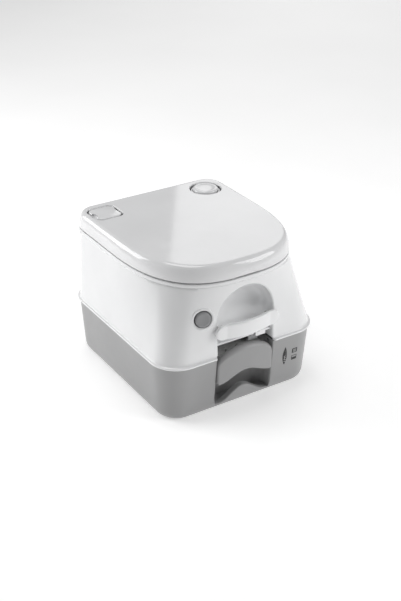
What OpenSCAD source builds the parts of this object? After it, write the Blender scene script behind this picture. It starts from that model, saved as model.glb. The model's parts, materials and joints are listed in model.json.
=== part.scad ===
// Portable flush toilet: a flush section with bowl, seat and lid, latched on a waste tank.
// Millimetres. +Z is up, the front faces -Y, and the origin is the middle of the tank's underside.

/* [Overall] */
// Width over the seam flange
body_w = 342; // [330:1:350]
// Depth over the seam flange
body_d = 372; // [360:1:380]
// Corner radius of the seam flange
body_r = 55; // [50:1:60]
// Height of the seam between the waste tank and the flush section
seam_z = 113; // [110:1:116]
// Height of the top deck of the flush section
rim_z = 262; // [260:1:264]
// Height of the top of the lid
lid_top_z = 294; // [292:1:296]
// Width of the lid
lid_w = 322; // [318:1:326]
// Wall thickness of the moulded shells
wall = 3; // [2.5:0.1:3.2]

/* [Lid and seat] */
// Rearmost point of the lid
lid_back_y = 176; // [174:1:177]
// Place where the straight sides of the lid turn into its round front
lid_mid_y = 29; // [20:1:40]
// Length of the round front of the lid
lid_nose = 209; // [205:1:210]
// Exponent of the superellipse of the round front
nose_power = 2.76; // [2.4:0.02:3]
// Radius of the rear corners of the lid
lid_r = 39; // [30:1:45]
// Gap between the deck and the lid's skirt
skirt_gap = 3; // [2:0.5:4]
// Thickness of the seat
seat_t = 14; // [10:1:15]
// Width of the seat opening
seat_hole_w = 204; // [190:1:214]
// Length of the seat opening
seat_hole_d = 218; // [200:1:224]

/* [Bowl and valve] */
// Width of the bowl at its rim
bowl_w = 224; // [216:1:228]
// Length of the bowl at its rim
bowl_d = 236; // [230:1:240]
// Outer radius of the bowl outlet
outlet_r = 36; // [32:1:37]
// Travel of the slide valve
slide_travel = 90; // [88:1:92]

/* [Controls] */
// Radius of the pump knob
knob_r = 25; // [22:0.5:25.5]
// Travel of the pump knob
knob_travel = 18; // [10:1:19]
// Radius of the flush button
button_r = 14; // [12:0.5:14.5]
// Width of the fill cap
cap_w = 52; // [48:1:54]
// Length of the fill cap
cap_d = 50; // [46:1:52]

/* [Front] */
// Half width of the arched opening in the front
arch_r = 59; // [56:1:60]
// Height of the centre of the arch
arch_z = 184; // [180:1:186]
// Height of the band of the carry handle
handle_h = 30; // [26:1:32]
// Height of the centre of the carry handle
handle_z = 167; // [165:1:170]
// Distance from the middle to each end lobe of the carry handle
lobe_x = 53; // [50:1:55]

/* [Hidden] */
$fn = 64;
skin = 0.1;      // thickness of the slices that hulls are stretched between
through = 1;     // how far a cut runs past a face

// Tank
tank_in = 4;                   // inset of the tank's top edge from the flange
deck_t = 3;                    // thickness of the tank deck
deck_z = seam_z - 0.4;         // top of the tank deck
tub_z = deck_z - deck_t;       // top of the tank's walls
notch_w = 2*arch_r + 4;        // width of the front notch
notch_y = -140;                // back wall of the front notch
hump_z = 10;                   // height of the sill at the sides of the notch
hump_rise = 25;                // extra height of the sill in the middle
hump_half = 54;                // half width of that rise
sill_back = -164;              // rear face of the sill
mouth_y = 6;                   // centre of the bowl outlet
mouth_r = outlet_r + 8;        // hole in the tank deck
bay_x0 = 6;                    // spout bay, left
bay_x1 = 144;                  // spout bay, right
bay_y = 124;                   // spout bay, front
bay_z = 50;                    // spout bay, floor
spout_x = 114;                 // swivel axis of the spout
spout_y = 155;
spout_z = 82;                  // centre line of the spout
spout_r = 22;                  // outer radius of the spout
spout_reach = 88;              // length of the spout from its swivel axis
vent_x = -72;                  // vent button on the tank deck
vent_y = 150;

// Slide valve
blade_w = 96;
blade_t = 3.2;
blade_z = 103.8;
blade_back = mouth_y + outlet_r + 8;
pull_back = -168;              // rear face of the slide handle
pull_front = -186;             // foremost point of the slide handle
pull_bow = 5;                  // how far its face bows out

// Flush section
flange_t = 4;
band_z = rim_z - 8;            // lower edge of the vertical band under the lid
base_z = seam_z + 1.2;           // underside of the base plate
bowl_y = -34;                  // centre of the bowl rim
pocket_z = 138;                // lower edge of the hand recess
pocket_y = -140;               // deepest point of the hand recess
pump_x = 108;
pump_y = 122;
fill_x = -116;
fill_y = 124;
latch_x = 35;                  // centre of the release latch
latch_y = -152;                // pivot of the release latch
latch_z = 137;

// Hinge
hinge_y = 183;
hinge_z = 272;
hinge_pin_r = 3;
knuckle_r = 6;
lug_x = 51;                    // inner face of the hinge brackets
lug_w = 10;

// Flush button: centre of its hole on the front panel, and the panel's slope there
button_pos = [-86.5, -172, 197];
button_turn = 17;
button_tilt = 6.4;
inward = [sin(button_turn)*cos(button_tilt), cos(button_turn)*cos(button_tilt), -sin(button_tilt)];

// Flush valve: behind the button on the button's own axis, with a pipe up to the bowl rim
valve_at = button_pos + 36*inward;
nozzle_z = 248;

// Hinge pin of the fill cap, along the inner edge of the cap
cap_pin_x = fill_x + cap_w/2 - 1.5;
cap_pin_z = lid_top_z - 3.4;

// Outlines ---------------------------------------------------------------

function rounded_points(w, d, r, steps = 8) = [
  for (q = [0:3]) for (k = [0:steps])
    let (a = 90*q + 90*k/steps,
         cx = (q == 0 || q == 3 ? 1 : -1)*(w/2 - r),
         cy = (q < 2 ? 1 : -1)*(d/2 - r))
    [cx + r*cos(a), cy + r*sin(a)]
];

function signed_pow(v, p) = sign(v)*pow(abs(v), p);

function oval_points(a, b, power = 2, steps = 48) = [
  for (k = [0:steps - 1])
    let (t = 360*k/steps)
    [a*signed_pow(cos(t), 2/power), b*signed_pow(sin(t), 2/power)]
];

// Lid outline: round rear corners, straight sides and a superellipse front
function lid_points(inset, steps = 8) =
  let (a = lid_w/2 - inset, r = lid_r - inset, back = lid_back_y - inset, b = lid_nose - inset)
  concat(
    [for (q = [0:1]) for (k = [0:steps])
      let (t = 90*q + 90*k/steps)
      [(q == 0 ? 1 : -1)*(a - r) + r*cos(t), back - r + r*sin(t)]],
    [for (k = [0:4*steps])
      let (t = 180 + 180*k/(4*steps))
      [a*signed_pow(cos(t), 2/nose_power), lid_mid_y + b*signed_pow(sin(t), 2/nose_power)]]
  );

// Arch of the front opening, from height z0 up, drawn in x and z
function arch_points(r, zc, z0, steps = 20) = concat(
  [[-r, z0], [r, z0]],
  [for (k = [0:steps]) let (t = 180*k/steps) [r*cos(t), zc + r*sin(t)]]
);

module slab(z, h, points) {
  translate([0, 0, z]) linear_extrude(h) polygon(points);
}

// A profile drawn in x and z, stretched along y from y0 to y1
module along_y(y0, y1) {
  translate([0, y1, 0]) rotate([90, 0, 0]) linear_extrude(y1 - y0) children();
}

module along_x(x0, x1) {
  translate([x0, 0, 0]) rotate([90, 0, 90]) linear_extrude(x1 - x0) children();
}

module block(x0, x1, y0, y1, z0, z1) {
  translate([x0, y0, z0]) cube([x1 - x0, y1 - y0, z1 - z0]);
}

module tube(r_out, r_in, z0, z1) {
  difference() {
    translate([0, 0, z0]) cylinder(r = r_out, h = z1 - z0);
    translate([0, 0, z0 - through]) cylinder(r = r_in, h = z1 - z0 + 2*through);
  }
}

module mirrored_x() {
  children();
  mirror([1, 0, 0]) children();
}

module coil_spring(r, wire, h, turns) {
  linear_extrude(h, twist = -360*turns, slices = 16*turns)
    translate([r, 0]) circle(r = wire, $fn = 8);
}

module at_button() {
  translate(button_pos) rotate([-button_tilt, 0, -button_turn]) children();
}

// A short rod along the local y axis, from y0 to y1
module rod_y(r, y0, y1) {
  translate([0, y0, 0]) rotate([-90, 0, 0]) cylinder(r = r, h = y1 - y0);
}

module rod_x(r, x0, x1) {
  translate([x0, 0, 0]) rotate([0, 90, 0]) cylinder(r = r, h = x1 - x0);
}

// Waste tank ---------------------------------------------------------------

function tank_points(inset) =
  rounded_points(body_w - 2*inset, body_d - 2*inset, body_r - inset);

// The tank as a solid, its walls moved in by grow: rounded at the foot and slightly tapered
module tank_solid(grow, z0, z1) {
  hull() {
    slab(z0, skin, tank_points(22 + grow));
    slab(z0 + 4, skin, tank_points(15 + grow));
    slab(z0 + 14, skin, tank_points(11 + grow));
    slab(z1 - skin, skin, tank_points(tank_in + grow));
  }
}

module notch_block(grow) {
  block(-notch_w/2 - grow, notch_w/2 + grow, -body_d, notch_y + grow,
    hump_z - 4 - grow, seam_z + through);
}

module bay_block(grow) {
  block(bay_x0 - grow, bay_x1 + grow, bay_y - grow, body_d, bay_z - grow, seam_z + through);
}

// The sill in front of the finger recess: level at its ends, with a smooth rise in the middle
module sill_profile() {
  half = notch_w/2 + through;
  polygon(concat(
    [[half, hump_z - 6], [-half, hump_z - 6]],
    [for (k = [0:24])
      let (x = -half + 2*half*k/24, rise = abs(x) < hump_half ? 0.5 + 0.5*cos(180*x/hump_half) : 0)
      [x, hump_z + hump_rise*rise]]
  ));
}

module lens_points(grow = 0) {
  translate([92, 68]) polygon(oval_points(5 + grow, 20 + grow));
}

module waste_tank() color("darkgray") {
  difference() {
    tank_solid(0, 0, tub_z);
    difference() {
      tank_solid(wall, wall, tub_z + through);
      notch_block(wall);
      bay_block(wall);
    }
    difference() {
      notch_block(0);
      along_y(-body_d/2, sill_back) sill_profile();
    }
    bay_block(0);
    block(-blade_w/2 - 1, blade_w/2 + 1, notch_y - through, notch_y + wall + through,
      blade_z - 0.4, blade_z + blade_t + 0.6);
    translate([spout_x, spout_y, bay_z - wall - through]) cylinder(r = 19, h = wall + 2*through);
    along_y(-body_d/2, -178) lens_points();
    along_y(-body_d/2, -178.7) mark_outlines();
  }
}

module screw_at(x, y, z0, z1, r, head_r, head_h) {
  translate([x, y, z0]) cylinder(r = r, h = z1 - z0);
  translate([x, y, z1]) cylinder(r = head_r, h = head_h);
}

module valve_screw_places() {
  for (x = [-56, 56]) for (y = [-100, 46]) translate([x, y, 0]) children();
}

module rear_tab_places() {
  for (x = [-121, -25]) translate([x, 167, 0]) children();
}

module tank_deck() color("darkgray") {
  difference() {
    slab(tub_z, deck_t, tank_points(tank_in));
    notch_block(0);
    bay_block(0);
    translate([0, mouth_y, tub_z - through]) cylinder(r = mouth_r, h = deck_t + 2*through);
    translate([vent_x, vent_y, tub_z - through]) cylinder(r = 8, h = deck_t + 2*through);
    valve_screw_places() translate([0, 0, tub_z - through]) cylinder(r = 2, h = deck_t + 2*through);
    rear_tab_places() block(-10, 10, -3, 3, tub_z - through, deck_z + through);
  }
}

module valve_housing() color("dimgray") {
  low = blade_z - 7.8;
  difference() {
    block(-62, 62, notch_y + wall, blade_back + 8, low, tub_z);
    block(-blade_w/2 - 0.5, blade_w/2 + 0.5, notch_y, blade_back + 1,
      blade_z - 0.4, blade_z + blade_t + 0.4);
    translate([0, mouth_y, low - through]) cylinder(r = outlet_r + 2, h = 9);
    translate([0, mouth_y, blade_z + blade_t]) cylinder(r = mouth_r, h = 5);
    valve_screw_places() translate([0, 0, 99]) cylinder(r = 2, h = 20);
  }
}

module blade_seal() color("black") {
  translate([0, mouth_y, 0]) tube(mouth_r, outlet_r + 2, blade_z + blade_t + 0.3, tub_z);
}

module mouth_seal() color("black") {
  translate([0, mouth_y, 0]) tube(mouth_r, outlet_r + 0.4, tub_z, deck_z);
}

module valve_screws() color("silver") {
  valve_screw_places() screw_at(0, 0, 99, deck_z, 2, 3.6, 1);
}

// Oval sight glass, and the two marks beside it for a full and a low tank
module level_window() color("dimgray") {
  along_y(-180, -178) lens_points();
}

module mark_outlines() {
  for (z = [69, 53.5]) translate([108, z]) square([12, 10]);
}

module level_marks() color("dimgray") {
  along_y(-180, -178.7) mark_outlines();
}

module vent_seat() color("dimgray") {
  translate([vent_x, vent_y, 0]) {
    tube(8, 5.4, 103.6, deck_z);
    tube(8, 2.5, 101.6, 103.6);
  }
}

module vent_spring() color("silver") {
  translate([vent_x, vent_y, 103.7]) coil_spring(3.6, 0.45, 3.7, 3);
}

module vent_button() color("gainsboro") {
  translate([vent_x, vent_y, 0]) {
    translate([0, 0, 107.6]) cylinder(r = 4.9, h = 4.6);
    translate([0, 0, 99]) cylinder(r = 2, h = 8.6);
    translate([0, 0, 97]) cylinder(r = 4, h = 2.5);
  }
}

module spout_socket() color("dimgray") {
  translate([spout_x, spout_y, 0]) {
    tube(27, spout_r + 0.08, bay_z, bay_z + 10);
  }
}

module spout_seal() color("black") {
  translate([spout_x, spout_y, 0]) tube(spout_r, 19, bay_z, bay_z + 1.5);
}

// Swivelling elbow that the tank is emptied through, stored across the rear
module pour_spout() color("gainsboro") {
  end_x = spout_x - spout_reach;
  difference() {
    union() {
      translate([spout_x, spout_y, bay_z + 1.8])
        cylinder(r = spout_r, h = spout_z + 23 - bay_z - 1.8);
      translate([0, spout_y, spout_z]) rod_x(spout_r - 1, end_x, spout_x);
    }
    translate([spout_x, spout_y, bay_z]) cylinder(r = 19, h = spout_z + 20 - bay_z);
    translate([0, spout_y, spout_z]) rod_x(18, end_x - through, spout_x);
  }
}

module spout_cap() color("dimgray") {
  end_x = spout_x - spout_reach;
  translate([0, spout_y, spout_z]) difference() {
    union() {
      rod_x(24.4, end_x - 6, end_x + 14);
      for (a = [0:30:330]) rotate([a, 0, 0]) block(end_x - 4, end_x + 12, -1.5, 1.5, 22, 25.6);
    }
    rod_x(spout_r - 0.6, end_x - 1.6, end_x + 15);
  }
}

module spout_cap_seal() color("black") {
  end_x = spout_x - spout_reach;
  translate([0, spout_y, spout_z]) rod_x(spout_r - 0.6, end_x - 1.6, end_x - 0.3);
}

module latch_keeper() color("silver") {
  block(latch_x - 13, latch_x + 13, notch_y - 10, notch_y + 14, deck_z, deck_z + 1.2);
}

// Slide valve ---------------------------------------------------------------

module valve_blade() color("gainsboro") {
  difference() {
    block(-blade_w/2, blade_w/2, pull_back, blade_back, blade_z, blade_z + blade_t);
    for (x = [-28, -4]) translate([x, pull_back + 9, blade_z - through]) cylinder(r = 2, h = 6);
  }
}

// Bridge-shaped face of the handle, in x and z
module pull_profile() {
  half = notch_w/2 - 1.5;
  top = 123;
  side = 97;
  foot = 55.5;
  arch = 73.5;
  steps = 16;
  polygon(concat(
    [for (k = [0:steps]) let (a = 90*k/steps)
      [half*cos(a), side + (top - side)*pow(sin(a), 1.15)]],
    [for (k = [1:steps]) let (a = 90 + 90*k/steps)
      [half*cos(a), side + (top - side)*pow(sin(a), 1.15)]],
    [[-half, foot + 4], [-half + 4, foot]],
    [for (k = [0:steps]) let (u = -1 + 2*k/steps)
      [u*(half - 5.5), foot + (arch - foot)*(0.5 + 0.5*cos(180*u))]],
    [[half - 4, foot], [half, foot + 4]]
  ));
}

module slide_handle() color("darkgray") {
  bow_r = (pow(notch_w/2, 2) + pow(pull_bow, 2))/(2*pull_bow);
  difference() {
    union() {
      intersection() {
        along_y(pull_front - through, pull_back) pull_profile();
        translate([0, pull_front + bow_r, 0]) cylinder(r = bow_r, h = 200, $fn = 128);
      }
      block(-36, 4, pull_back, pull_back + 17, blade_z + blade_t, blade_z + blade_t + 5);
    }
    for (x = [-28, -4]) translate([x, pull_back + 9, blade_z]) cylinder(r = 2, h = 20);
  }
}

module blade_screws() color("silver") {
  top = blade_z + blade_t + 5;
  for (x = [-28, -4]) screw_at(x, pull_back + 9, blade_z, top, 2, 3.6, 1.6);
}

// Flush section --------------------------------------------------------------

// The moulded body as a solid, its walls moved in by grow, between z0 and z1
module shell_solid(grow, z0, z1) {
  slab(z0, seam_z + flange_t - z0, tank_points(tank_in + grow));
  hull() {
    slab(seam_z + flange_t - skin, skin, tank_points(tank_in + grow));
    slab(band_z, skin, lid_points(grow));
  }
  slab(band_z, z1 - band_z, lid_points(grow));
}

// Hand recess behind the carry handle
module pocket(grow) {
  mouth = -181;
  hull() {
    along_y(mouth - skin, mouth) polygon(arch_points(arch_r + grow, arch_z, pocket_z - grow));
    along_y(pocket_y + grow - skin, pocket_y + grow)
      polygon(arch_points(36 + grow, arch_z + 2, pocket_z + 20 - grow));
  }
  along_y(-body_d, mouth) polygon(arch_points(arch_r + grow, arch_z, pocket_z - grow));
}

// Space under the hand recess for the slide handle and the latch
module handle_bay(grow) {
  block(-notch_w/2 - grow, notch_w/2 + grow, -body_d, -146 + grow,
    grow > 0 ? base_z : seam_z - through, pocket_z + 18 + grow);
}

module bowl_outline(grow) {
  translate([0, bowl_y]) polygon(oval_points(bowl_w/2 + grow, bowl_d/2 + grow));
}

module base_screw_places() {
  for (x = [-160, 160]) for (y = [-90, 0, 90]) translate([x, y, 0]) children();
}

module upper_shell() color("whitesmoke") {
  difference() {
    union() {
      difference() {
        union() {
          slab(seam_z, flange_t, rounded_points(body_w, body_d, body_r));
          shell_solid(0, seam_z, rim_z);
        }
        shell_solid(wall, seam_z - through, rim_z - wall);
      }
      intersection() {
        shell_solid(0, base_z, rim_z);
        union() {
          pocket(wall);
          handle_bay(wall);
        }
      }
      base_screw_places() translate([0, 0, base_z + wall + 0.3]) cylinder(r = 6, h = 20);
      for (x = [latch_x - 18, latch_x + 13.4])
        block(x, x + 4.6, latch_y - 5, -145, latch_z - 5, latch_z + 12);
    }
    pocket(0);
    difference() {
      handle_bay(0);
      pocket(wall);
      for (x = [latch_x - 18, latch_x + 13.4])
        block(x, x + 4.6, latch_y - 5, -145, latch_z - 5, latch_z + 12);
    }
    block(latch_x - 13, latch_x + 13, -body_d, -165, pocket_z - 8, pocket_z + 16);
    translate([0, 0, latch_z]) translate([0, latch_y, 0]) rod_x(2, latch_x - 20, latch_x + 20);
    slab_cut(rim_z - wall) bowl_outline(1);
    slab_cut(rim_z - wall) translate([pump_x, pump_y]) circle(r = 28.6);
    slab_cut(rim_z - wall) translate([fill_x, fill_y]) circle(r = 24.1);
    at_button() rod_y(button_r + 3.6, -20, 25);
    base_screw_places() translate([0, 0, base_z]) cylinder(r = 2, h = 16);
    for (x = [-lobe_x, lobe_x]) translate([x, 0, handle_z]) rod_y(3, -190, -165);
  }
}

module slab_cut(z) {
  translate([0, 0, z - through]) linear_extrude(wall + 2*through) children();
}

module upper_base() color("whitesmoke") {
  difference() {
    slab(base_z, wall, tank_points(tank_in + wall + 0.2));
    block(-notch_w/2 - wall - 0.2, notch_w/2 + wall + 0.2, -body_d, -142.8,
      base_z - through, base_z + wall + through);
    translate([0, mouth_y, base_z - through]) cylinder(r = outlet_r + 0.2, h = wall + 2*through);
    base_screw_places() translate([0, 0, base_z - through]) cylinder(r = 2, h = wall + 2*through);
  }
}

module base_screws() color("silver") {
  base_screw_places() {
    translate([0, 0, base_z - 0.8]) cylinder(r = 3.6, h = 0.8);
    translate([0, 0, base_z - 0.8]) cylinder(r = 2, h = 14);
  }
}

module rear_tabs() color("whitesmoke") {
  rear_tab_places() block(-9, 9, -2, 2, tub_z - 4, base_z);
}

// Inside or outside of the bowl: from its rim past a waist to the round outlet
module bowl_solid(grow, z_low, z_high) {
  hull() {
    translate([0, 0, z_high]) linear_extrude(skin) bowl_outline(grow);
    translate([0, -16, 200]) slab(0, skin, oval_points(88 + grow, 92 + grow));
  }
  hull() {
    translate([0, -16, 200]) slab(0, skin, oval_points(88 + grow, 92 + grow));
    translate([0, mouth_y, z_low]) slab(0, skin, oval_points(outlet_r + 1 + grow, outlet_r + 1 + grow));
  }
}

module bowl() color("white") {
  difference() {
    union() {
      bowl_solid(0, 134, rim_z - skin);
      translate([0, 0, rim_z]) linear_extrude(2.2) bowl_outline(6);
      translate([0, mouth_y, tub_z + 0.6]) cylinder(r = outlet_r, h = 27);
    }
    bowl_solid(-wall, 136, rim_z + 3);
    translate([0, mouth_y, tub_z]) cylinder(r = outlet_r - 4, h = 40);
    translate([valve_at.x, 0, nozzle_z]) rod_y(4, valve_at.y, valve_at.y + 40);
  }
}

// Pipe that feeds the rim of the bowl
module rim_nozzle() color("dimgray") {
  translate([valve_at.x, valve_at.y, nozzle_z - 12]) cylinder(r = 3, h = 12);
  translate([valve_at.x, 0, nozzle_z]) rod_y(4, valve_at.y - 4, valve_at.y + 36);
}

module nozzle_hose() color("gainsboro") {
  translate([valve_at.x, valve_at.y, 0]) tube(5, 3, valve_at.z + 13, nozzle_z - 5);
}

module pickup_tube() color("gainsboro") {
  translate([valve_at.x, valve_at.y, 0]) tube(5, 3, base_z + wall + 3, valve_at.z - 13);
}

module flush_valve() color("dimgray") {
  difference() {
    union() {
      translate([valve_at.x, valve_at.y, valve_at.z - 22]) cylinder(r = 3, h = 44);
      at_button() rod_y(12, 27, 46);
    }
    at_button() rod_y(3.4, 20, 40);
  }
}

module button_cup() color("gray") {
  difference() {
    at_button() rod_y(button_r + 3.4, -3, 18);
    at_button() rod_y(button_r + 0.5, -20, 15);
    at_button() rod_y(3.4, 10, 20);
  }
}

module button_spring() color("silver") {
  at_button() translate([0, 14.8, 0]) rotate([90, 0, 0]) coil_spring(6, 0.8, 9, 4);
}

module flush_button() color("gray") {
  at_button() {
    rod_y(button_r, -0.5, 5);
    rod_y(2.9, 4, 30);
  }
}

module pump_well() color("whitesmoke") {
  translate([pump_x, pump_y, 0]) {
    tube(28.4, knob_r + 1, 198, 289);
    tube(34, 28.4, rim_z, rim_z + 2);
  }
}

module pump_base() color("dimgray") {
  translate([pump_x, pump_y, 0]) {
    translate([0, 0, 198]) cylinder(r = knob_r + 1, h = 7);
    translate([0, 0, 186]) cylinder(r = 8, h = 12);
  }
}

module pump_bellows() color("gray") {
  folds = 6;
  low = 205;
  high = 268;
  pitch = (high - low)/folds;
  translate([pump_x, pump_y, 0]) rotate_extrude() polygon(concat(
    [for (k = [0:2*folds]) [k % 2 == 0 ? 17 : 22.5, low + k*pitch/2]],
    [for (k = [2*folds:-1:0]) [k % 2 == 0 ? 15.6 : 21.1, low + k*pitch/2]]
  ));
}

module pump_knob() color("whitesmoke") {
  edge = 279;
  top = 295;
  translate([pump_x, pump_y, 0]) rotate_extrude() polygon([
    [0, 268.3], [17, 268.3], [17, edge], [knob_r, edge], [knob_r, top - 3], [knob_r - 3, top],
    [knob_r - 6, top + 1], [knob_r - 8, top], [10, top - 1.2], [0, top - 1.6]
  ]);
}

module cap_outline(w, d, r) {
  translate([fill_x, fill_y]) polygon(rounded_points(w, d, r));
}

module cap_ears(grow = 0) {
  for (y = [fill_y - 17, fill_y + 12]) {
    block(cap_pin_x - 3 - grow, cap_pin_x + 3 + grow, y - grow, y + 5 + grow, 286, cap_pin_z + grow);
    translate([cap_pin_x, 0, cap_pin_z]) rod_y(3 + grow, y - grow, y + 5 + grow);
  }
}

module fill_neck() color("whitesmoke") {
  difference() {
    union() {
      translate([fill_x, fill_y, 0]) {
        tube(24, 19.4, 240, 284);
        tube(30, 24, rim_z, rim_z + 2);
      }
      difference() {
        translate([0, 0, 284]) linear_extrude(2.5) cap_outline(cap_w, cap_d, 10);
        translate([fill_x, fill_y, 280]) cylinder(r = 19.4, h = 10);
      }
      cap_ears();
    }
    translate([cap_pin_x, 0, cap_pin_z]) rod_y(1.2, fill_y - 20, fill_y + 20);
  }
}

module fill_cap() color("gainsboro") {
  difference() {
    union() {
      difference() {
        translate([0, 0, 287]) linear_extrude(lid_top_z - 287) cap_outline(cap_w, cap_d, 12);
        cap_ears(0.5);
        block(cap_pin_x, cap_pin_x + 10, fill_y - 40, fill_y + 40, 280, 300);
        block(fill_x - cap_w/2 - 1, fill_x - cap_w/2 + 6, fill_y - 11, fill_y + 11, 290.5, 300);
      }
      translate([cap_pin_x, 0, cap_pin_z]) rod_y(3, fill_y - 11, fill_y + 11);
      translate([fill_x, fill_y, 282]) cylinder(r = 16.5, h = 6);
    }
    translate([cap_pin_x, 0, cap_pin_z]) rod_y(1.28, fill_y - 20, fill_y + 20);
  }
}

module fill_cap_seal() color("black") {
  translate([fill_x, fill_y, 0]) tube(19, 16.5, 283, 286);
}

module fill_cap_pin() color("silver") {
  translate([cap_pin_x, 0, cap_pin_z]) rod_y(1.2, fill_y - 17, fill_y + 17);
}

module carry_handle() color("white") {
  face = -181.6;
  bow = 12;
  thick = 9;
  outer_r = (pow(lobe_x + 2, 2) + pow(bow, 2))/(2*bow);
  front = face - 3.4 - bow;
  low = handle_z - handle_h/2;
  difference() {
    union() {
      intersection() {
        translate([0, front + outer_r, low]) difference() {
          cylinder(r = outer_r, h = handle_h, $fn = 128);
          translate([0, 0, -through]) cylinder(r = outer_r - thick, h = handle_h + 2*through, $fn = 128);
        }
        block(-lobe_x, lobe_x, front - 1, face, low, low + handle_h);
      }
      for (x = [-lobe_x, lobe_x]) translate([x, 0, handle_z]) rod_y(handle_h/2 - 0.01, face - 6, face);
    }
    for (x = [-lobe_x, lobe_x]) translate([x, 0, handle_z]) rod_y(3, face - 4, face + 1);
  }
}

module handle_studs() color("silver") {
  for (x = [-lobe_x, lobe_x]) translate([x, 0, handle_z]) {
    rod_y(3, -185.6, -165.2);
  }
}

// Lever with a finger tab in front and a hook behind
module release_latch() color("white") {
  x0 = latch_x - 11;
  x1 = latch_x + 11;
  tab_y = -178;
  leg_y = -154.5;
  arm_z = 131;
  hook_z = 109.5;
  difference() {
    union() {
      block(x0, x1, tab_y, tab_y + 3, arm_z, arm_z + 10);
      block(x0, x1, tab_y, leg_y + 4, arm_z, arm_z + 3);
      block(x0, x1, leg_y, leg_y + 4, hook_z, arm_z + 3);
      block(x0, x1, leg_y, notch_y - 3, hook_z, deck_z - 0.4);
      block(x0, x1, latch_y - 4, latch_y + 4, arm_z, latch_z);
      translate([0, latch_y, latch_z]) rod_x(4, x0, x1);
    }
    translate([0, latch_y, latch_z]) rod_x(2.08, x0 - through, x1 + through);
    translate([latch_x - 5, 0, arm_z + 6.5]) rod_y(2.5, tab_y - through, tab_y + 4);
  }
}

module latch_pin() color("silver") {
  translate([0, latch_y, latch_z]) rod_x(2, latch_x - 18, latch_x + 18);
}

// Hinge, seat and lid --------------------------------------------------------

module hinge_brackets() color("whitesmoke") {
  mirrored_x() difference() {
    union() {
      block(lug_x - 4, lug_x + lug_w + 4, 156, 172, rim_z, rim_z + 2.4);
      hull() {
        block(lug_x, lug_x + lug_w, 162, lid_back_y - 0.6, rim_z, rim_z + 2.4);
        translate([0, hinge_y, hinge_z]) rod_x(knuckle_r, lug_x, lug_x + lug_w, $fn = 32);
      }
    }
    translate([0, hinge_y, hinge_z]) rod_x(hinge_pin_r, lug_x - through, lug_x + lug_w + through);
  }
}

module hinge_pins() color("silver") {
  mirrored_x() translate([0, hinge_y, hinge_z]) rod_x(hinge_pin_r, lug_x - 15, lug_x + lug_w + 12);
}

module seat() color("whitesmoke") {
  low = rim_z + 3.4;
  cut_y = 86;
  tongue = 46;
  difference() {
    union() {
      difference() {
        hull() {
          slab(low, seat_t - 4, lid_points(7));
          slab(low, seat_t, lid_points(11));
        }
        block(-body_w, body_w, cut_y, body_d, low - through, low + seat_t + through);
      }
      block(-tongue, tongue, cut_y - 1, 160, low, low + seat_t);
      mirrored_x() hull() {
        block(lug_x - 15, lug_x - 1, 150, 160, low, low + seat_t);
        translate([0, hinge_y, hinge_z]) rod_x(knuckle_r, lug_x - 15, lug_x - 1, $fn = 32);
      }
    }
    translate([0, bowl_y, low - through]) linear_extrude(seat_t + 2*through)
      polygon(oval_points(seat_hole_w/2, seat_hole_d/2));
    translate([0, hinge_y, hinge_z]) rod_x(hinge_pin_r + 0.08, -lug_x - 1, lug_x + 1);
  }
}

module bumper_places(x, y0, y1) {
  for (sx = [-x, x]) for (y = [y0, y1]) translate([sx, y, 0]) children();
}

module seat_bumpers() color("gray") {
  bumper_places(131, -50, 70) translate([0, 0, rim_z + 0.4]) cylinder(r = 6, h = 3);
}

// The lid as a solid: a straight skirt under a rounded shoulder
module lid_outside(z0, z1) {
  hull() {
    slab(z0, z1 - 10 - z0, lid_points(0));
    slab(z1 - 4, skin, lid_points(3.5));
    slab(z1 - skin, skin, lid_points(12));
  }
}

module lid_inside(z0, z1) {
  hull() {
    slab(z0, z1 - 8 - z0, lid_points(wall));
    slab(z1 - skin, skin, lid_points(wall + 7));
  }
}

module lid() color("gainsboro") {
  low = rim_z + skirt_gap;
  difference() {
    union() {
      difference() {
        lid_outside(low, lid_top_z);
        lid_inside(low - through, lid_top_z - wall);
      }
      mirrored_x() hull() {
        block(lug_x + 12, lug_x + 22, lid_back_y - 2, lid_back_y - 1, low + 1, hinge_z + knuckle_r);
        translate([0, hinge_y, hinge_z]) rod_x(knuckle_r, lug_x + 12, lug_x + 22, $fn = 32);
      }
    }
    translate([pump_x, pump_y, lid_top_z - 12]) cylinder(r = knob_r + 6, h = 20);
    translate([0, 0, lid_top_z - 12]) linear_extrude(20) cap_outline(cap_w + 6, cap_d + 6, 14);
    block(-lug_x - 11, lug_x + 11, lid_back_y - 2*wall, body_d, low - through, 280);
    along_y(-body_d, -170) polygon(concat(
      [[36, low - 2], [-36, low - 2]],
      [for (k = [0:16]) let (x = -36 + 72*k/16) [x, low - 0.5 + 4.5 + 4.5*cos(180*x/36)]]
    ));
    for (side = [-1, 1]) translate([side*(lug_x + 17), hinge_y, hinge_z])
      rod_x(hinge_pin_r + 0.08, -6, 6);
  }
}

module lid_bumpers() color("gray") {
  bumper_places(122, -60, 60) translate([0, 0, rim_z + 3.4 + seat_t + 0.4])
    cylinder(r = 6, h = lid_top_z - wall - rim_z - 3.8 - seat_t);
}

waste_tank();
tank_deck();
valve_housing();
blade_seal();
mouth_seal();
valve_screws();
level_window();
level_marks();
vent_seat();
vent_spring();
vent_button();
spout_socket();
spout_seal();
pour_spout();
spout_cap();
spout_cap_seal();
latch_keeper();
valve_blade();
slide_handle();
blade_screws();
upper_shell();
upper_base();
base_screws();
rear_tabs();
bowl();
rim_nozzle();
pump_well();
pump_base();
pump_bellows();
pump_knob();
pickup_tube();
flush_valve();
nozzle_hose();
button_cup();
button_spring();
flush_button();
fill_neck();
fill_cap();
fill_cap_seal();
fill_cap_pin();
carry_handle();
handle_studs();
release_latch();
latch_pin();
hinge_brackets();
hinge_pins();
seat();
seat_bumpers();
lid();
lid_bumpers();
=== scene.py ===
import json
import math

import bmesh
import bpy
import numpy as np
from mathutils import Matrix, Vector


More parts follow.
